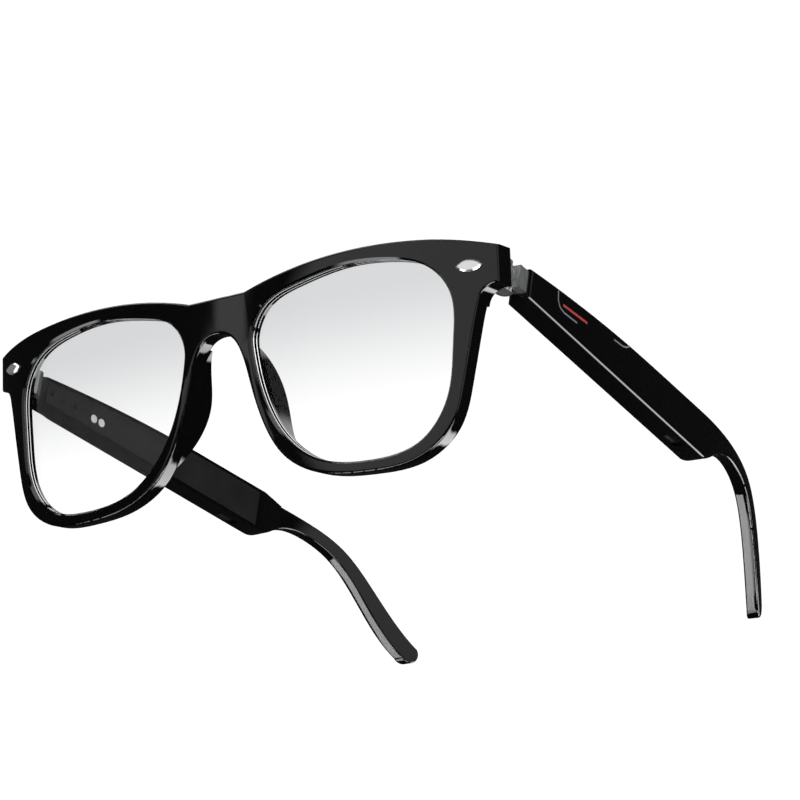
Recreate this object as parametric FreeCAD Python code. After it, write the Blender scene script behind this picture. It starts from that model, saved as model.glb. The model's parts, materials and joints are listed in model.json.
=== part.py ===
import FreeCAD, Part
import math
import os

V = FreeCAD.Vector

# Smart glasses: a full-rim frame with the electronics in both temples.
# Units are millimetres.  +X is the wearer's left, -Y the viewing direction, +Z up.
# The pair stands open on a table: the rim bottoms and the ear tips touch z = 0.
# Shapes are drawn in the level frame (temples level, bridge centre at the origin);
# the front is drawn in its own plane and tilted into the level frame.

# ---------------------------------------------------------------- driving sizes
HALF_WIDTH = 73.4        # centre line to the side facet of an end piece
FACE_RADIUS = 700.0      # face curve over the lenses
WRAP_RADIUS = 48.0       # tighter curve of the end pieces
WRAP_X = 57.0            # where the end-piece curve begins
RIM_DEPTH = 4.2          # front-to-back depth of the rims
END_DEPTH = 5.0          # front-to-back depth of the end pieces
END_X = 63.6             # inner limit of the thicker end pieces
PANTO = 14.9             # tilt of the front against the temples, degrees
DIP = 7.2                # slope of the temples when the glasses stand on a table
EDGE = 0.7               # edge rounding of the front
BACK_EDGE = 0.5          # edge rounding of its back
BEVEL = 0.45             # bevel around a lens opening, at the front
BACK_BEVEL = 0.3         # and at the back
LENS_THICK = 2.0
TONGUE = 0.6             # how far the lens edge enters the rim groove
TONGUE_THICK = 1.2

PIN_X = 69.8             # hinge axis, level frame
PIN_Y = 12.6
PIN_R = 0.7
PLAY = 0.05              # radial and end play of the temple knuckle
KNUCKLE_R = 1.9
KNUCKLE_Z = (5.8, 7.7, 10.1, 12.0)   # lower front, temple and upper front knuckle

T_OUT = 75.0             # outer face of a temple
T_IN = 69.0              # inner face of the electronics section
HOOK_WIDTH = 3.5         # the ear hook from its outer to its inner face
BOW_START = 94.0         # from here on the temple bows inward, towards the head
BOW_RADIUS = 162.0
T_START = 15.0           # front end of a temple
LEAN = 3.0               # the temples converge by this angle, degrees
OUTER_EDGE = 0.8         # edge rounding of the temples
INNER_EDGE = 0.5
WALL = 1.2               # wall of the hollow section
COVER = 1.2              # thickness of the inner cover
SEAM = 0.2               # bevel along the rim of the temple cover

# half outlines in the plane of the front: (x, z)
TOP = [(8.2, 11.5), (22, 14.6), (38, 15.9), (55, 14.9), (HALF_WIDTH, 11.3)]
NOTCH = [(HALF_WIDTH, 2.7), (70.6, 1.9), (68.9, -0.9)]
LOWER = [(68.9, -0.9), (67.3, -8), (65.2, -18), (61.6, -28), (54.5, -33.3), (41, -34.8),
         (28, -33.2), (18.3, -28), (12.6, -19.5), (9.4, -10.5), (6.9, -2.6), (3.9, 1.7), (0, 2.9)]
LENS = [(9.9, -1), (11.7, -10), (16.8, -21), (26.5, -29.4), (41, -32.1), (54.8, -29.3),
        (60.6, -22.2), (62.9, -9), (62.4, 2.4), (57.6, 8.3), (48, 11.7), (36, 12.7),
        (22, 10.7), (13, 7)]
PAD_LINE = [(4.7, 0.5), (7.4, -3.2), (9.9, -10.9), (13.0, -19.5), (17.6, -26.3)]
PAD_THICK = 2.3
PAD_BULGE = [(3.0, 2.2), (7.2, -3.4), (9.8, -10.5), (8.3, -18.5), (3.0, -27.2)]  # (depth, z)
RIVET_AT = (67.4, 7.0)   # rivet centre on the front
RIVET = (6.2, 2.7)       # its length and height

# temple side view, level frame: (y, z)
T_TOP = [(T_START, 12.0), (32, 13.4), (60, 14.5), (92, 14.3), (116, 13.3), (129.5, 9.8),
         (139.5, 2.5), (148, -5.3), (155.2, -10.9)]
T_TIP = [(155.2, -10.9), (155.0, -14.5), (151.0, -14.3)]
T_UNDER = [(151.0, -14.3), (143.3, -8.2), (135.2, 0.1), (127, 6.4), (117, 9.2), (109, 8.7),
           (103.5, 6.0), (100, 3.8), (96.5, 3.1)]
T_FLOOR = [(96.5, 3.1), (T_START, 4.9)]

SCREWS = [(18.4, 8.6), (26.6, 8.4)]    # cover screws on the inner face: (y, z)
MIC = (22.6, 8.5)
CONTACTS = [(33.4, 8.2), (36.1, 8.2)]


# ---------------------------------------------------------------- helpers
def rot(shape, axis, angle, centre=V(0, 0, 0)):
    out = shape.copy()
    out.rotate(centre, axis, angle)
    return out


def moved(shape, x=0.0, y=0.0, z=0.0):
    out = shape.copy()
    out.translate(V(x, y, z))
    return out


def mirrored(shape):
    return shape.mirror(V(0, 0, 0), V(1, 0, 0))


def box(x0, x1, y0, y1, z0, z1):
    return Part.makeBox(x1 - x0, y1 - y0, z1 - z0, V(x0, y0, z0))


def rod(radius, a, b):
    start = V(*a)
    along = V(*b) - start
    return Part.makeCylinder(radius, along.Length, start, along)


def upright(radius, z0, z1):
    return rod(radius, (PIN_X, PIN_Y, z0), (PIN_X, PIN_Y, z1))


def spline(points, closed=False):
    curve = Part.BSplineCurve()
    curve.interpolate(Points=points, PeriodicFlag=closed)
    return curve.toShape()


def line(a, b):
    return Part.makeLine(a, b)


def xz(points, side=1):
    return [V(side * x, 0, z) for x, z in points]


def yz(points, x=0.0):
    return [V(x, y, z) for y, z in points]


def prism(wire, along):
    return Part.Face(wire).extrude(along)


def plate(points, along):
    return prism(Part.makePolygon(points + [points[0]]), along)


def beside(points, gap, closed=False):
    """Points moved to the left by gap, square to the run of the line."""
    out = []
    last = len(points) - 1
    for i, (a, b) in enumerate(points):
        a0, b0 = points[i - 1 if closed else max(i - 1, 0)]
        a1, b1 = points[(i + 1) % len(points) if closed else min(i + 1, last)]
        size = math.hypot(a1 - a0, b1 - b0)
        out.append((a - gap * (b1 - b0) / size, b + gap * (a1 - a0) / size))
    return out


def band(points, thick):
    """Closed wire around a curved strip, in (x, z)."""
    near = xz(points)
    far = xz(beside(points, thick))[::-1]
    return Part.Wire([spline(near), line(near[-1], far[0]), spline(far), line(far[-1], near[0])])


# ---------------------------------------------------------------- curved front
WRAP_ANGLE = math.asin(WRAP_X / FACE_RADIUS)
WRAP_CENTRE = (WRAP_X - WRAP_RADIUS * math.sin(WRAP_ANGLE),
               FACE_RADIUS * (1 - math.cos(WRAP_ANGLE)) + WRAP_RADIUS * math.cos(WRAP_ANGLE))


def on_curve(depth, degrees, wrap):
    """Point at a depth behind the front surface, in the plan view."""
    a = math.radians(degrees)
    if wrap:
        r = WRAP_RADIUS - depth
        return V(WRAP_CENTRE[0] + r * math.sin(a), WRAP_CENTRE[1] - r * math.cos(a), 0)
    r = FACE_RADIUS - depth
    return V(r * math.sin(a), FACE_RADIUS - r * math.cos(a), 0)


def depth_of(p):
    x = abs(p.x)
    if math.atan2(x, FACE_RADIUS - p.y) <= WRAP_ANGLE:
        return FACE_RADIUS - math.hypot(x, p.y - FACE_RADIUS)
    return WRAP_RADIUS - math.hypot(x - WRAP_CENTRE[0], p.y - WRAP_CENTRE[1])


def half_slab(near, far):
    turn = math.degrees(WRAP_ANGLE)
    last = 40.0
    mid = (turn + last) / 2
    a = [on_curve(near, 0, False), on_curve(near, turn / 2, False), on_curve(near, turn, False)]
    b = [a[2], on_curve(near, mid, True), on_curve(near, last, True)]
    c = [on_curve(far, last, True), on_curve(far, mid, True), on_curve(far, turn, True)]
    d = [c[2], on_curve(far, turn / 2, False), on_curve(far, 0, False)]
    edges = [Part.Arc(*a).toShape(), Part.Arc(*b).toShape(), line(b[2], c[0]),
             Part.Arc(*c).toShape(), Part.Arc(*d).toShape(), line(d[2], a[0])]
    return moved(prism(Part.Wire(edges), V(0, 0, 70)), z=-45)


def face_slab(near, far):
    half = half_slab(near, far)
    return half.fuse(mirrored(half)).removeSplitter()


def at_depth(shape, depth):
    """Edges that lie at one depth behind the front surface."""
    found = []
    for edge in shape.Edges:
        span = edge.LastParameter - edge.FirstParameter
        spots = [edge.valueAt(edge.FirstParameter + span * k / 4) for k in range(5)]
        if max(abs(depth_of(p) - depth) for p in spots) < 2e-3:
            found.append(edge)
    return found


def on_front(shape, x):
    """Carry a shape drawn at the origin out to x along the front surface."""
    a = math.asin((x - WRAP_CENTRE[0]) / WRAP_RADIUS)
    out = rot(shape, V(0, 0, 1), math.degrees(a))
    p = on_curve(0, math.degrees(a), True)
    return moved(out, p.x, p.y)


def level(shape):
    """From the plane of the front to the level frame of the temples."""
    return rot(shape, V(1, 0, 0), PANTO)


# ---------------------------------------------------------------- front pieces
def front_outline():
    top_r = xz(TOP)
    top_l = xz(TOP, -1)[::-1]
    notch_r = xz(NOTCH)
    notch_l = xz(NOTCH, -1)[::-1]
    low = xz(LOWER) + xz(LOWER[:-1], -1)[::-1]
    edges = [spline(top_l), line(top_l[-1], top_r[0]), spline(top_r), line(top_r[-1], notch_r[0]),
             Part.Arc(*notch_r).toShape(), spline(low), Part.Arc(*notch_l).toShape(),
             line(notch_l[-1], top_l[0])]
    return Part.Wire(edges)


def lens_wire(grow=0.0):
    return Part.Wire(spline(xz(beside(LENS, -grow, closed=True)), closed=True))


def through(wire, y0=-1.0, y1=25.0):
    return prism(moved(wire, y=y0), V(0, y1 - y0, 0))


def make_lens():
    body = through(lens_wire()).common(half_slab(1.1, 1.1 + LENS_THICK))
    tongue = through(lens_wire(TONGUE)).common(half_slab(1.5, 1.5 + TONGUE_THICK))
    return body.fuse(tongue).removeSplitter()


def make_end_block():
    block = through(front_outline()).common(half_slab(1.5, END_DEPTH))
    block = block.common(box(END_X, 80, -1, 30, -1.4, 20))
    return block.makeFillet(BACK_EDGE, at_depth(block, END_DEPTH))


def around_opening(edges):
    """The edges that run along a lens opening."""
    wires = [lens_wire(), mirrored(lens_wire())]
    found = []
    for edge in edges:
        p = edge.valueAt((edge.FirstParameter + edge.LastParameter) / 2)
        spot = Part.Vertex(V(p.x, 0, p.z))
        if min(wire.distToShape(spot)[0] for wire in wires) < 0.05:
            found.append(edge)
    return found


def make_rim():
    rim = through(front_outline()).common(face_slab(0, RIM_DEPTH))
    rim = rim.makeFillet(EDGE, at_depth(rim, 0))
    rim = rim.makeFillet(BACK_EDGE, at_depth(rim, RIM_DEPTH))
    opening = through(lens_wire())
    rim = rim.cut(opening).cut(mirrored(opening))
    rim = rim.makeChamfer(BEVEL, around_opening(at_depth(rim, 0)))
    return rim.makeChamfer(BACK_BEVEL, around_opening(at_depth(rim, RIM_DEPTH)))


def make_pad():
    fin = through(band(PAD_LINE, PAD_THICK), 0, 14).common(half_slab(RIM_DEPTH, 16))
    bulge = spline([V(0, y, z) for y, z in PAD_BULGE])
    side = Part.Wire([bulge, line(V(0, *PAD_BULGE[-1]), V(0, *PAD_BULGE[0]))])
    return fin.common(moved(prism(side, V(30, 0, 0)), x=1))


def make_rivet():
    a, b = RIVET[0] / 2, RIVET[1] / 2
    ends = [V(-a, 0, 0), V(a, 0, 0)]
    leaf = Part.Wire([Part.Arc(ends[0], V(0, 0, b), ends[1]).toShape(),
                      Part.Arc(ends[1], V(0, 0, -b), ends[0]).toShape()])
    head = through(leaf, -0.55, 0.35)
    head = head.makeChamfer(0.35, [e for e in head.Edges if e.CenterOfMass.y < -0.5])
    pins = [rod(0.6, (x, 0, 0), (x, END_DEPTH - 0.5, 0)) for x in (-1.7, 1.7)]
    return moved(on_front(head.fuse(pins), RIVET_AT[0]), z=RIVET_AT[1])


def make_front_hinge():
    """Leaf in the end piece: flush plate, shoulder and two knuckles."""
    rear = through(front_outline()).common(half_slab(END_DEPTH - 1.2, END_DEPTH))
    leaf = level(rear.common(box(64.9, 72.3, 0, 30, 3.7, 10.2)))
    shoulder = box(67.2, 72.9, 8.0, 10.6, KNUCKLE_Z[0], KNUCKLE_Z[3])
    leaf = leaf.fuse(shoulder)
    for z0, z1 in (KNUCKLE_Z[:2], KNUCKLE_Z[2:]):
        leaf = leaf.fuse([box(68.4, 71.2, 8.0, PIN_Y, z0, z1), upright(KNUCKLE_R, z0, z1)])
    return leaf.removeSplitter()


def make_hinge_screw():
    z0, z1 = KNUCKLE_Z[0], KNUCKLE_Z[3]
    screw = upright(PIN_R, z0 + 0.2, z1).fuse(upright(1.25, z1 - 0.4, z1 + 0.4))
    slot = box(PIN_X - 2, PIN_X + 2, PIN_Y - 0.2, PIN_Y + 0.2, z1 + 0.1, z1 + 1)
    return screw.cut(slot)


def make_temple_hinge():
    """Leaf of the temple: one knuckle, a web, the outer block and a tongue in the shell."""
    z0, z1 = KNUCKLE_Z[1] + PLAY, KNUCKLE_Z[2] - PLAY
    leaf = upright(KNUCKLE_R, z0, z1)
    leaf = leaf.fuse([box(PIN_X, 73.0, PIN_Y - 0.6, T_START, z0, z1),
                      box(72.0, 74.1, 11.7, T_START + 0.4, 6.2, 11.5),
                      box(70.3, 74.1, T_START - 0.2, T_START + 3.6, 6.4, 11.1)])
    return leaf.removeSplitter().cut(upright(PIN_R + PLAY, 0, 20))


# ---------------------------------------------------------------- temple pieces
def temple_wire():
    edges = [spline(yz(T_TOP)), Part.Arc(*yz(T_TIP)).toShape(), spline(yz(T_UNDER)),
             line(*yz(T_FLOOR)), line(yz(T_FLOOR)[1], yz(T_TOP)[0])]
    return Part.Wire(edges)


def side_prism(wire, x0, x1):
    return prism(moved(wire, x=x0), V(x1 - x0, 0, 0))


def inset(gap, x0, x1, y0, y1):
    """Slice of the electronics section, shrunk by gap, between two stations."""
    top = yz(beside(T_TOP[:5], -gap))
    (ya, za), (yb, zb) = T_FLOOR
    slope = (za - zb) / (ya - yb)
    floor = [V(0, y, zb + gap + slope * (y - yb)) for y in (top[-1].y, top[0].y)]
    wire = Part.Wire([spline(top), line(top[-1], floor[0]), line(*floor), line(floor[1], top[0])])
    return side_prism(wire, x0, x1).common(box(x0 - 1, x1 + 1, y0, y1, -30, 30))


def bowed(gap, y):
    """Point at a gap inside the outer face, in the plan view."""
    if y <= BOW_START:
        return V(T_OUT - gap, y, -30)
    r = BOW_RADIUS - gap
    return V(T_OUT - BOW_RADIUS + math.sqrt(r * r - (y - BOW_START) ** 2), y, -30)


def bow(gap, y0, y1):
    return Part.Arc(bowed(gap, y0), bowed(gap, (y0 + y1) / 2), bowed(gap, y1)).toShape()


def gap_of(p):
    if p.y <= BOW_START:
        return T_OUT - p.x
    return BOW_RADIUS - math.hypot(p.x - T_OUT + BOW_RADIUS, p.y - BOW_START)


def edges_at(shape, gap, y0, y1):
    """Edges that lie at one gap inside the outer face, between two stations."""
    found = []
    for edge in shape.Edges:
        span = edge.LastParameter - edge.FirstParameter
        spots = [edge.valueAt(edge.FirstParameter + span * k / 4) for k in range(5)]
        if all(abs(gap_of(p) - gap) < 1e-3 and y0 < p.y < y1 for p in spots):
            found.append(edge)
    return found


def make_temple_body():
    side = side_prism(temple_wire(), T_IN - 20, T_OUT)
    corners = [V(T_IN, 97, -30), V(T_IN, T_START + 1.2, -30), V(T_IN + 1.2, T_START, -30),
               V(T_OUT, T_START, -30)]
    start, step, last = bowed(0, BOW_START), bowed(HOOK_WIDTH, 106), 160
    edges = [line(step, corners[0])] + [line(*corners[i:i + 2]) for i in range(3)]
    edges += [line(corners[3], start), bow(0, BOW_START, last),
              line(bowed(0, last), bowed(HOOK_WIDTH, last)), bow(HOOK_WIDTH, last, 106)]
    body = side.common(prism(Part.Wire(edges), V(0, 0, 60)))
    body = body.makeFillet(OUTER_EDGE, edges_at(body, 0, 0, 170))
    top = [e for e in edges_at(body, T_OUT - T_IN, 0, 98) if e.CenterOfMass.z > 8 and e.Length > 50]
    return body.makeFillet(INNER_EDGE, top + edges_at(body, HOOK_WIDTH, 105.9, 170))


def make_cavity():
    hollow = inset(WALL + 0.5, T_IN + COVER, T_OUT - WALL, 20.4, 92.5)
    for y, z in SCREWS:
        hollow = hollow.cut(rod(1.5, (T_IN, y, z), (T_OUT, y, z)))
    return hollow


def make_cover(seam=0.0):
    """Inner cover; its visible rim is bevelled by the seam."""
    cover = inset(0.9, T_IN, T_IN + COVER, T_START + 1.8, 95.0)
    return cover.makeChamfer(seam, edges_at(cover, T_OUT - T_IN, 0, 100)) if seam else cover


def make_cover_screws():
    screws = []
    for y, z in SCREWS:
        head = rod(0.8, (T_IN + 0.15, y, z), (T_IN + 0.75, y, z))
        shank = rod(0.45, (T_IN + 0.7, y, z), (T_IN + 4.2, y, z))
        slot = box(T_IN, T_IN + 0.4, y - 0.6, y + 0.6, z - 0.12, z + 0.12)
        screws.append(head.fuse(shank).cut(slot))
    return Part.Compound([s.Solids[0] for s in screws])


def make_contacts():
    pins = []
    for y, z in CONTACTS:
        pin = rod(1.05, (T_IN, y, z), (T_IN + COVER, y, z))
        stem = rod(0.6, (T_IN + COVER - 0.2, y, z), (72.0, y, z))
        pins.append(pin.fuse(stem).Solids[0])
    return Part.Compound(pins)


def make_board():
    board = box(72.0, 72.8, 28.6, 51.5, 6.4, 11.1)
    chips = [box(70.9, 72.0, 38.6, 43.6, 6.6, 10.7), box(71.1, 72.0, 45.0, 48.0, 6.6, 9.2),
             box(71.4, 72.0, 29.4, 31.6, 6.8, 9.0), box(71.3, 72.0, 45.2, 50.4, 9.8, 10.7)]
    return board.fuse(chips).removeSplitter()


def make_battery():
    cell = box(70.6, 73.6, 54.0, 77.5, 6.2, 12.0)
    cell = cell.makeFillet(1.2, [e for e in cell.Edges if abs(e.Length - 23.5) < 0.01])
    return cell.fuse(box(71.2, 73.0, 52.6, 54.0, 7.2, 11.4)).removeSplitter()


def make_speaker():
    case = box(70.5, 73.5, 80.0, 91.0, 6.2, 12.0)
    case = case.makeFillet(1.0, [e for e in case.Edges if abs(e.Length - 3.0) < 0.01])
    cone = rod(2.1, (70.2, 85.5, 9.1), (70.5, 85.5, 9.1))
    return case.fuse(cone)


def make_speaker_mesh():
    """Perforated strip in the slot below the speaker."""
    mesh = box(71.0, 73.4, 84.5, 90.5, 3.9, 4.5)
    for i in range(8):
        for j in range(3):
            x, y = 71.5 + 0.7 * j, 85.05 + 0.7 * i
            mesh = mesh.cut(rod(0.22, (x, y, 3.5), (x, y, 5)))
    return mesh


def make_touch_sensor():
    foil = box(73.4, T_OUT - WALL - 0.1, 29.0, 52.5, 7.0, 11.0)
    return foil.cut(light_bar(0.3))


def make_microphone():
    y, z = MIC
    can = box(T_IN + COVER, T_IN + COVER + 1.0, y - 1.5, y + 1.5, z - 1.3, z + 1.3)
    return can.cut(rod(0.25, (T_IN, y, z), (T_IN + COVER + 0.5, y, z)))


def light_bar(grow=0.0):
    y0, z0, y1, z1 = 28.9, 9.9, 39.6, 10.6
    h = 0.3 + grow
    pts = [(y0 - grow, z0 - h), (y1 + grow, z1 - h), (y1 + grow, z1 + h), (y0 - grow, z0 + h)]
    return plate(yz(pts, T_OUT - WALL - 2 * grow), V(WALL + 2 * grow, 0, 0))


def stroke(points, width, depth):
    far = beside(points, width)[::-1]
    return plate(yz(points + far, T_OUT - depth), V(depth, 0, 0))


def make_touch_marks():
    """Two printed corner marks around the touch area."""
    front = [(26.2, 12.2), (26.5, 10.0), (27.6, 8.6), (29.6, 8.1), (35.4, 8.4)]
    rear = [(51.8, 12.1), (56.0, 12.4), (57.6, 12.9), (58.9, 13.9)]
    return Part.Compound([stroke(front, 0.4, 0.2), stroke(rear, 0.4, 0.2)])


def make_grip():
    """Soft strip let into the underside of the ear hook."""
    run = T_UNDER[:5]
    near = yz(beside(run, -1.0)[:4])
    far = yz(beside(run, 4.0)[:4])[::-1]
    wire = Part.Wire([spline(near), line(near[-1], far[0]), spline(far), line(far[-1], near[0])])
    outer, inner, y0, y1 = 1.3, 3.1, 110, 158
    plan = Part.Wire([bow(outer, y0, y1), line(bowed(outer, y1), bowed(inner, y1)),
                      bow(inner, y1, y0), line(bowed(inner, y0), bowed(outer, y0))])
    strip = side_prism(temple_wire(), T_IN - 20, T_OUT).common(prism(plan, V(0, 0, 60)))
    return strip.common(side_prism(wire, T_IN - 20, T_OUT))


# ---------------------------------------------------------------- assembly
def front_half():
    """Pieces of the wearer's left half that stay with the front."""
    rivet = level(make_rivet())
    screw = make_hinge_screw()
    hinge = make_front_hinge().cut(rivet).cut(screw)
    return {
        "lens": level(make_lens()),
        "nose_pad": level(make_pad()),
        "rivet": rivet,
        "front_hinge": hinge,
        "hinge_screw": screw,
    }


def temple_half(left):
    screws = make_cover_screws()
    pieces = {
        "temple_hinge": make_temple_hinge().cut(screws),
        "cover_screws": screws,
        "charging_contacts": make_contacts(),
        "circuit_board": make_board(),
        "battery": make_battery(),
        "speaker": make_speaker(),
        "speaker_mesh": make_speaker_mesh(),
        "touch_sensor": make_touch_sensor(),
        "microphone": make_microphone(),
        "ear_grip": make_grip(),
    }
    cover = make_cover(SEAM)
    for name in ("cover_screws", "charging_contacts"):
        cover = cover.cut(pieces[name])
    for y, z in SCREWS:
        cover = cover.cut(rod(0.8, (T_IN - 1, y, z), (T_IN + 0.75, y, z)))
    cover = cover.cut(rod(0.4, (T_IN - 1, MIC[0], MIC[1]), (T_IN + COVER + 1, MIC[0], MIC[1])))
    pieces["temple_cover"] = cover
    shell = make_temple_body().cut(make_cavity()).cut(make_cover())
    shell = shell.cut(box(71.0, 73.4, 84.5, 90.5, 2, 7))
    if left:
        pieces["touch_marks"] = make_touch_marks()
        pieces["status_light"] = light_bar()
        shell = shell.cut(pieces["touch_marks"]).cut(pieces["status_light"])
    for name in ("temple_hinge", "cover_screws", "ear_grip"):
        shell = shell.cut(pieces[name])
    pieces["temple_shell"] = shell
    return {name: rot(piece, V(0, 0, 1), LEAN, V(PIN_X, PIN_Y, 0)) for name, piece in pieces.items()}


def make_frame(half):
    block = make_end_block()
    frame = level(make_rim().fuse([block, mirrored(block)]).removeSplitter())
    for name in ("lens", "rivet", "front_hinge", "hinge_screw"):
        frame = frame.cut(half[name]).cut(mirrored(half[name]))
    return frame


def build():
    half = front_half()
    pieces = {"front_frame": make_frame(half)}
    for name, shape in half.items():
        pieces[name + "_left"] = shape
        pieces[name + "_right"] = mirrored(shape)
    for name, shape in temple_half(True).items():
        single = name in ("touch_marks", "status_light")
        pieces[name if single else name + "_left"] = shape
    for name, shape in temple_half(False).items():
        pieces[name + "_right"] = mirrored(shape)
    return {name: rot(shape, V(1, 0, 0), -DIP) for name, shape in pieces.items()}


def main():
    os.makedirs("parts", exist_ok=True)
    pieces = build()
    whole = Part.Compound(list(pieces.values()))
    low = whole.optimalBoundingBox(True, False)
    for name, shape in pieces.items():
        placed = moved(shape, y=-(low.YMin + low.YMax) / 2, z=-low.ZMin)
        solid = placed.Solids[0] if len(placed.Solids) == 1 else Part.Compound(placed.Solids)
        solid.exportStep("parts/" + name + ".step")
        print(name, solid.isValid(), len(placed.Solids), round(solid.Volume, 1))
    print("shift", -(low.YMin + low.YMax) / 2, -low.ZMin)
    print("tip above the table", pieces["temple_shell_left"].optimalBoundingBox(True, False).ZMin - low.ZMin)
    print("size", low.XLength, low.YLength, low.ZLength)


main()
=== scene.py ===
import bpy
import json
import math
from mathutils import Matrix, Vector


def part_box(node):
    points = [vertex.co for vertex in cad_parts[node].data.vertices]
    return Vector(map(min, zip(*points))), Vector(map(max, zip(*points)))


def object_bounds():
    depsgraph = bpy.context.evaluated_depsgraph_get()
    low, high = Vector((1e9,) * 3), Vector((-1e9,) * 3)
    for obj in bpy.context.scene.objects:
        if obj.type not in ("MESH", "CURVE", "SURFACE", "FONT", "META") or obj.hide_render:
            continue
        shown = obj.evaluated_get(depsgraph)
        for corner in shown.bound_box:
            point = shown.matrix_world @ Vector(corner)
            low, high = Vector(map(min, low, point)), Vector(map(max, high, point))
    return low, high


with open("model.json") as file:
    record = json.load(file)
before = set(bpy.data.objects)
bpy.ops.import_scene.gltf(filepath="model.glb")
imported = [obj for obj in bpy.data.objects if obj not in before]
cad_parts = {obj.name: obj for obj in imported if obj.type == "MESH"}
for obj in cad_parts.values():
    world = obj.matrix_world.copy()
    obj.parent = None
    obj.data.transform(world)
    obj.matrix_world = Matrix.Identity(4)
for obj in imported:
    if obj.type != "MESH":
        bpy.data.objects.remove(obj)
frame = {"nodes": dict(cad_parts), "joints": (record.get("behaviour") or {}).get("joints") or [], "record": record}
cad_low, cad_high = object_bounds()

# ---------------------------------------------------------------- sizes, in metres and degrees
CAMERA_FROM_HINGES = Vector((0.4012, -0.4726, -0.2279))  # from the middle of the hinge line
CAMERA_AZIMUTH = 37.18
CAMERA_ELEVATION = -19.05
CAMERA_ROLL = 2.75
CAMERA_LENS = 128.2
SENSOR = 36.0
CLIP_START = 0.01
FLOOR_SIZE = 40.0
FLOOR_GAP = 0.0003       # clear space between the glasses and the floor
SMOOTH_ANGLE = math.radians(24)
WELD = 2e-6
LENS_GAP = 3e-5          # play of a lens in its groove

# ---------------------------------------------------------------- colours and brightness
LENS_CLEAR = (0.995, 0.996, 1.0)
LENS_GREY = (0.655, 0.66, 0.668)
LENS_FADE = (0.18, 0.92)  # start and end of the fade, as shares of the lens height
LENS_HAZE = 0.03
LENS_IOR = 1.25
SURROUND = 1.06          # white surround, as seen directly and through the lenses
DIFFUSE_LOSS = 0.30      # what the surround gives less to matt surfaces
STUDIO_DARK = 0.02       # darkest part of the reflected studio
KEY_LIGHT = ((-0.5, -0.6, 0.9), 0.8, 3.0)  # place, size and watts
FILL_LIGHT = ((0.8, 0.4, 0.7), 0.9, 1.5)


# ---------------------------------------------------------------- node helpers
def clear(tree):
    for node in list(tree.nodes):
        tree.nodes.remove(node)


def add(tree, kind, **inputs):
    """A node with its constant inputs set by name; spaces are written as underscores."""
    node = tree.nodes.new(kind)
    for key, value in inputs.items():
        node.inputs[key.replace("_", " ")].default_value = value
    return node


def math_node(tree, operation, *values):
    """A math node whose inputs are numbers or other nodes' outputs."""
    node = tree.nodes.new("ShaderNodeMath")
    node.operation = operation
    for i, value in enumerate(values):
        if isinstance(value, (int, float)):
            node.inputs[i].default_value = value
        else:
            tree.links.new(value, node.inputs[i])
    return node.outputs[0]


def step(tree, value, low, high, out_low=0.0, out_high=1.0):
    """Smooth change from one number to another as value goes from low to high."""
    node = tree.nodes.new("ShaderNodeMapRange")
    node.interpolation_type = "SMOOTHSTEP"
    tree.links.new(value, node.inputs["Value"])
    limits = {"From Min": low, "From Max": high, "To Min": out_low, "To Max": out_high}
    for key, number in limits.items():
        node.inputs[key].default_value = number
    return node.outputs["Result"]


def place(tree, stretch=(1, 1, 1)):
    """Coordinates that are fixed to the piece."""
    coordinates = tree.nodes.new("ShaderNodeTexCoord")
    mapping = tree.nodes.new("ShaderNodeMapping")
    mapping.inputs["Scale"].default_value = stretch
    tree.links.new(coordinates.outputs["Object"], mapping.inputs["Vector"])
    return mapping.outputs["Vector"]


def noise(tree, scale, detail=4.0, stretch=(1, 1, 1)):
    node = add(tree, "ShaderNodeTexNoise", Scale=scale, Detail=detail)
    tree.links.new(place(tree, stretch), node.inputs["Vector"])
    return node.outputs["Fac"]


def blend_colour(tree, factor, dark, light):
    node = tree.nodes.new("ShaderNodeMix")
    node.data_type = "RGBA"
    tree.links.new(factor, node.inputs["Factor"])
    node.inputs["A"].default_value = (*dark, 1)
    node.inputs["B"].default_value = (*light, 1)
    return node.outputs["Result"]


def finish_material(name, dark, light, rough, patch=60.0, grain=2500.0, bump=0.05, stretch=(1, 1, 1),
                    bump_depth=2e-5, **sockets):
    """Procedural surface: colour and roughness vary in patches, with a fine grain in relief."""
    material = bpy.data.materials.new(name)
    material.use_nodes = True
    tree = material.node_tree
    clear(tree)
    shader = add(tree, "ShaderNodeBsdfPrincipled", **sockets)
    out = tree.nodes.new("ShaderNodeOutputMaterial")
    tree.links.new(shader.outputs["BSDF"], out.inputs["Surface"])
    patches = noise(tree, patch, 5.0, stretch)
    tree.links.new(blend_colour(tree, patches, dark, light), shader.inputs["Base Color"])
    tree.links.new(step(tree, patches, 0.3, 0.7, *rough), shader.inputs["Roughness"])
    relief = add(tree, "ShaderNodeBump", Strength=bump, Distance=bump_depth)
    tree.links.new(noise(tree, grain, 3.0, stretch), relief.inputs["Height"])
    tree.links.new(relief.outputs["Normal"], shader.inputs["Normal"])
    return material


def lens_material(low, high):
    """Clear lens, grey at the top and fading out towards the bottom."""
    material = bpy.data.materials.new("lens_glass")
    material.use_nodes = True
    tree = material.node_tree
    clear(tree)
    shader = add(tree, "ShaderNodeBsdfPrincipled", Transmission_Weight=1.0, IOR=LENS_IOR, Roughness=0.0)
    out = tree.nodes.new("ShaderNodeOutputMaterial")
    tree.links.new(shader.outputs["BSDF"], out.inputs["Surface"])
    height = tree.nodes.new("ShaderNodeSeparateXYZ")
    tree.links.new(place(tree), height.inputs["Vector"])
    fade = step(tree, height.outputs["Z"], *(low + share * (high - low) for share in LENS_FADE))
    haze = math_node(tree, "MULTIPLY_ADD", noise(tree, 25.0, 2.0), LENS_HAZE, fade)
    colour = blend_colour(tree, haze, LENS_CLEAR, LENS_GREY)
    tree.links.new(colour, shader.inputs["Base Color"])
    return material


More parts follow.
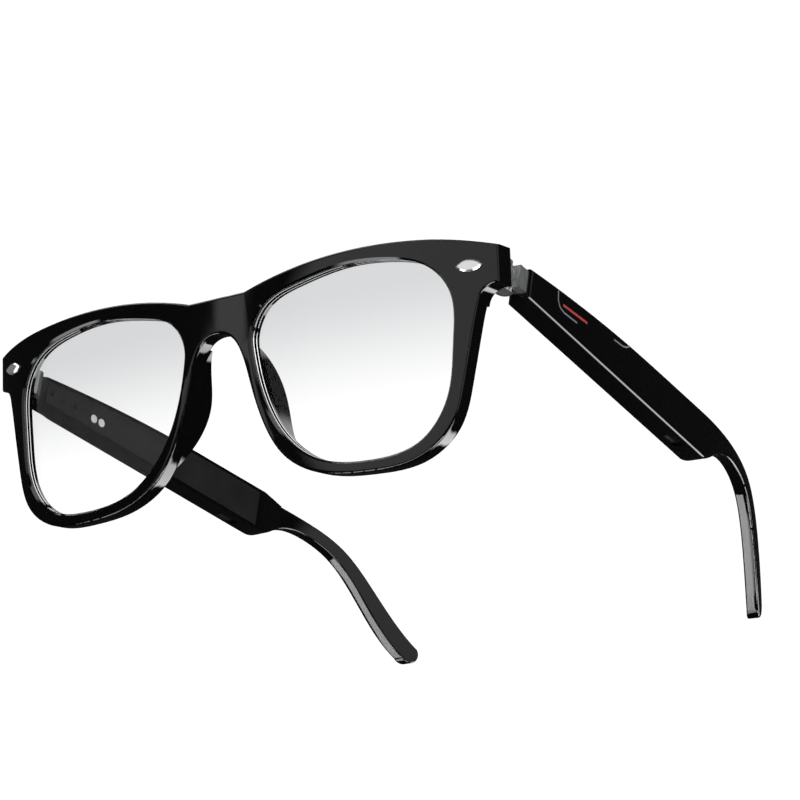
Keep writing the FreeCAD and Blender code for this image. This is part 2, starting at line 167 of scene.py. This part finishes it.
def emissive(material, colour, strength):
    """The same material, made to glow."""
    shader = next(n for n in material.node_tree.nodes if n.type == "BSDF_PRINCIPLED")
    shader.inputs["Emission Color"].default_value = (*colour, 1)
    shader.inputs["Emission Strength"].default_value = strength
    return material


# ---------------------------------------------------------------- smooth shading
def smooth_group():
    """Smooth faces, with edges left sharp where the surface turns by more than SMOOTH_ANGLE."""
    group = bpy.data.node_groups.new("smooth_by_angle", "GeometryNodeTree")
    group.interface.new_socket("Geometry", in_out="INPUT", socket_type="NodeSocketGeometry")
    group.interface.new_socket("Geometry", in_out="OUTPUT", socket_type="NodeSocketGeometry")
    nodes, links = group.nodes, group.links
    start, end = nodes.new("NodeGroupInput"), nodes.new("NodeGroupOutput")
    plain = nodes.new("GeometryNodeRemoveAttribute")
    plain.inputs["Name"].default_value = "custom_normal"
    weld = nodes.new("GeometryNodeMergeByDistance")
    weld.inputs["Distance"].default_value = WELD
    faces = nodes.new("GeometryNodeSetShadeSmooth")
    faces.domain = "FACE"
    edges = nodes.new("GeometryNodeSetShadeSmooth")
    edges.domain = "EDGE"
    edges.inputs["Shade Smooth"].default_value = False
    angle = nodes.new("GeometryNodeInputMeshEdgeAngle")
    sharp = nodes.new("FunctionNodeCompare")
    sharp.operation = "GREATER_THAN"
    sharp.inputs["B"].default_value = SMOOTH_ANGLE
    links.new(angle.outputs["Unsigned Angle"], sharp.inputs["A"])
    links.new(sharp.outputs["Result"], edges.inputs["Selection"])
    chain = [start, plain, weld, faces, edges, end]
    for a, b in zip(chain, chain[1:]):
        links.new(a.outputs[0], b.inputs[0])
    return group


# ---------------------------------------------------------------- materials of the pieces
lens_low, lens_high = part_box("lens_left")
ACROSS = (1, 0.12, 1)
MATERIALS = {
    "frame_gloss": finish_material("frame_gloss", (0.0012, 0.0012, 0.0014), (0.0026, 0.0026, 0.0028),
                                   (0.02, 0.04), patch=45, grain=300, bump=0.012, IOR=1.5),
    "lens_glass": lens_material(lens_low.z, lens_high.z),
    "rivet_metal": finish_material("rivet_metal", (0.80, 0.80, 0.81), (0.93, 0.93, 0.93), (0.10, 0.22),
                                   patch=900, grain=4000, bump=0.10, Metallic=0.8),
    "hinge_metal": finish_material("hinge_metal", (0.55, 0.56, 0.57), (0.80, 0.80, 0.80), (0.18, 0.34),
                                   patch=500, grain=3000, bump=0.2, stretch=(1, 1, 0.1), Metallic=0.85),
    "screw_metal": finish_material("screw_metal", (0.5, 0.5, 0.51), (0.72, 0.72, 0.72), (0.2, 0.35),
                                   patch=900, grain=5000, bump=0.15, Metallic=0.9),
    "cover_satin": finish_material("cover_satin", (0.006, 0.006, 0.0065), (0.010, 0.010, 0.0105),
                                   (0.32, 0.42), patch=120, grain=5200, bump=0.14, IOR=1.5),
    "screw_black": finish_material("screw_black", (0.004, 0.004, 0.004), (0.010, 0.010, 0.010), (0.25, 0.45),
                                   patch=900, grain=5000, bump=0.15, Metallic=0.5),
    "contact_plate": finish_material("contact_plate", (0.93, 0.93, 0.93), (0.99, 0.99, 0.99), (0.15, 0.28),
                                     patch=1200, grain=6000, bump=0.06, Metallic=0.15),
    "board_green": finish_material("board_green", (0.01, 0.07, 0.03), (0.02, 0.16, 0.07), (0.3, 0.5),
                                   patch=700, grain=2500, bump=0.3),
    "battery_foil": finish_material("battery_foil", (0.55, 0.55, 0.57), (0.75, 0.75, 0.76), (0.25, 0.45),
                                    patch=150, grain=700, bump=0.4, stretch=ACROSS, Metallic=0.9),
    "speaker_case": finish_material("speaker_case", (0.02, 0.02, 0.022), (0.045, 0.045, 0.05), (0.35, 0.5),
                                    patch=200, grain=3500, bump=0.2),
    "mesh_black": finish_material("mesh_black", (0.006, 0.006, 0.006), (0.02, 0.02, 0.02), (0.35, 0.55),
                                  patch=900, grain=4000, bump=0.2, Metallic=0.6),
    "foil_amber": finish_material("foil_amber", (0.40, 0.18, 0.03), (0.55, 0.27, 0.06), (0.25, 0.4),
                                  patch=300, grain=2000, bump=0.15),
    "can_metal": finish_material("can_metal", (0.55, 0.53, 0.47), (0.74, 0.72, 0.66), (0.2, 0.35),
                                 patch=900, grain=4000, bump=0.1, Metallic=1.0),
    "grip_grey": finish_material("grip_grey", (0.30, 0.30, 0.305), (0.40, 0.40, 0.405), (0.42, 0.58),
                                 patch=260, grain=3800, bump=0.25),
    "mark_print": finish_material("mark_print", (0.15, 0.17, 0.20), (0.24, 0.27, 0.31), (0.3, 0.45),
                                  patch=900, grain=5000, bump=0.1),
    "light_red": emissive(finish_material("light_red", (0.36, 0.045, 0.04), (0.46, 0.07, 0.06), (0.15, 0.3),
                                          patch=800, grain=3000, bump=0.05), (1.0, 0.10, 0.08), 0.05),
}

SLOT_OF = {part["node"]: part["material_slot"] for part in frame["record"]["subparts"]}
smooth = smooth_group()
for name, node in frame["nodes"].items():
    node.data.materials.clear()
    node.data.materials.append(MATERIALS[SLOT_OF[name]])
    modifier = node.modifiers.new("smooth", "NODES")
    modifier.node_group = smooth
    weighted = node.modifiers.new("flat_faces_first", "WEIGHTED_NORMAL")
    weighted.keep_sharp = True
    if name.startswith("lens"):
        gap = node.modifiers.new("groove_gap", "DISPLACE")
        gap.mid_level = 0
        gap.strength = -LENS_GAP


# ---------------------------------------------------------------- floor, light and camera
def make_floor():
    """Pale floor just under the glasses; it hides nothing from a low camera."""
    half = FLOOR_SIZE / 2
    mesh = bpy.data.meshes.new("floor")
    corners = [(-half, -half, 0), (half, -half, 0), (half, half, 0), (-half, half, 0)]
    mesh.from_pydata(corners, [], [(0, 1, 2, 3)])
    floor = bpy.data.objects.new("floor", mesh)
    bpy.context.scene.collection.objects.link(floor)
    floor.location.z = cad_low.z - FLOOR_GAP
    material = bpy.data.materials.new("floor_pale")
    material.use_nodes = True
    tree = material.node_tree
    clear(tree)
    top = add(tree, "ShaderNodeBsdfPrincipled", Roughness=0.7)
    tree.links.new(blend_colour(tree, noise(tree, 6.0), (0.84, 0.84, 0.845), (0.88, 0.88, 0.88)),
                   top.inputs["Base Color"])
    under = tree.nodes.new("ShaderNodeBsdfTransparent")
    side = tree.nodes.new("ShaderNodeNewGeometry")
    mix = tree.nodes.new("ShaderNodeMixShader")
    out = tree.nodes.new("ShaderNodeOutputMaterial")
    tree.links.new(side.outputs["Backfacing"], mix.inputs["Fac"])
    tree.links.new(top.outputs["BSDF"], mix.inputs[1])
    tree.links.new(under.outputs["BSDF"], mix.inputs[2])
    tree.links.new(mix.outputs["Shader"], out.inputs["Surface"])
    mesh.materials.append(material)
    floor.visible_glossy = False


def make_world():
    """White surround; reflections see a dark studio with soft boxes."""
    world = bpy.data.worlds.new("studio")
    bpy.context.scene.world = world
    world.use_nodes = True
    tree = world.node_tree
    clear(tree)
    direction = tree.nodes.new("ShaderNodeSeparateXYZ")
    tree.links.new(tree.nodes.new("ShaderNodeTexCoord").outputs["Generated"], direction.inputs["Vector"])
    x, y, z = (direction.outputs[axis] for axis in "XYZ")
    opposite = [math_node(tree, "MULTIPLY", part, -1.0) for part in (x, y)]
    turn = math_node(tree, "ARCTAN2", *opposite)

    def window(value, low, high, soft):
        """1 between two limits and 0 outside them, with soft edges."""
        return math_node(tree, "MULTIPLY", step(tree, value, low - soft, low + soft),
                         step(tree, value, high - soft, high + soft, 1.0, 0.0))

    def both(a, b):
        return math_node(tree, "MULTIPLY", a, b)

    level = window(z, -0.30, 0.50, 0.04)
    boxes = [
        (both(window(turn, -0.9, 0.577, 0.02), level), 0.75),
        (both(window(turn, 0.643, 0.675, 0.006), window(z, 0.0, 0.4, 0.03)), 0.9),
        (both(window(turn, -2.1, -1.2, 0.05), level), 0.6),
        (both(window(turn, -3.1, -2.0, 0.05), window(z, -0.75, -0.40, 0.03)), 7.0),
        (both(window(turn, -0.2, 1.6, 0.05), window(z, -0.86, -0.70, 0.02)), 4.0),
        (both(window(turn, -1.9, -0.6, 0.05), window(z, -0.97, -0.80, 0.02)), 8.0),
        (window(z, 0.70, 0.86, 0.03), 2.0),
    ]
    total = None
    for mask, strength in boxes:
        part = math_node(tree, "MULTIPLY", mask, strength)
        total = part if total is None else math_node(tree, "ADD", total, part)
    studio = tree.nodes.new("ShaderNodeBackground")
    studio.inputs["Color"].default_value = (1, 1, 1, 1)
    tree.links.new(math_node(tree, "ADD", total, STUDIO_DARK), studio.inputs["Strength"])
    white = tree.nodes.new("ShaderNodeBackground")
    white.inputs["Color"].default_value = (1, 1, 1, 1)
    path = tree.nodes.new("ShaderNodeLightPath")
    ambient = math_node(tree, "MULTIPLY_ADD", path.outputs["Is Diffuse Ray"], -DIFFUSE_LOSS, SURROUND)
    tree.links.new(ambient, white.inputs["Strength"])
    mix = tree.nodes.new("ShaderNodeMixShader")
    out = tree.nodes.new("ShaderNodeOutputWorld")
    mirror = math_node(tree, "MULTIPLY", path.outputs["Is Reflection Ray"], path.outputs["Is Glossy Ray"])
    tree.links.new(mirror, mix.inputs["Fac"])
    tree.links.new(white.outputs["Background"], mix.inputs[1])
    tree.links.new(studio.outputs["Background"], mix.inputs[2])
    tree.links.new(mix.outputs["Shader"], out.inputs["Surface"])


def make_soft_light(name, at, size, power):
    """Area light that faces the glasses and isn't mirrored in them."""
    light = bpy.data.lights.new(name, "AREA")
    light.size = size
    light.energy = power
    lamp = bpy.data.objects.new(name, light)
    bpy.context.scene.collection.objects.link(lamp)
    lamp.location = at
    lamp.rotation_euler = (-Vector(at)).to_track_quat("-Z", "Y").to_euler()
    lamp.visible_glossy = False


def make_camera():
    """Camera placed from the middle of the hinge line."""
    hinges = [Vector(joint["pos_m"]) for joint in frame["joints"]]
    middle = sum(hinges, Vector()) / len(hinges)
    azimuth, elevation = math.radians(CAMERA_AZIMUTH), math.radians(CAMERA_ELEVATION)
    back = Vector((math.sin(azimuth) * math.cos(elevation), -math.cos(azimuth) * math.cos(elevation),
                   math.sin(elevation)))
    right = Vector((math.cos(azimuth), math.sin(azimuth), 0))
    up = back.cross(right)
    turn = Matrix.Rotation(math.radians(CAMERA_ROLL), 3, back)
    axes = Matrix((turn @ right, turn @ up, back)).transposed()
    data = bpy.data.cameras.new("camera")
    data.lens = CAMERA_LENS
    data.sensor_width = SENSOR
    data.clip_start = CLIP_START
    camera = bpy.data.objects.new("camera", data)
    bpy.context.scene.collection.objects.link(camera)
    camera.matrix_world = Matrix.Translation(middle + CAMERA_FROM_HINGES) @ axes.to_4x4()
    bpy.context.scene.camera = camera


make_floor()
make_world()
make_soft_light("key", *KEY_LIGHT)
make_soft_light("fill", *FILL_LIGHT)
make_camera()
bpy.context.scene.view_settings.view_transform = "Standard"
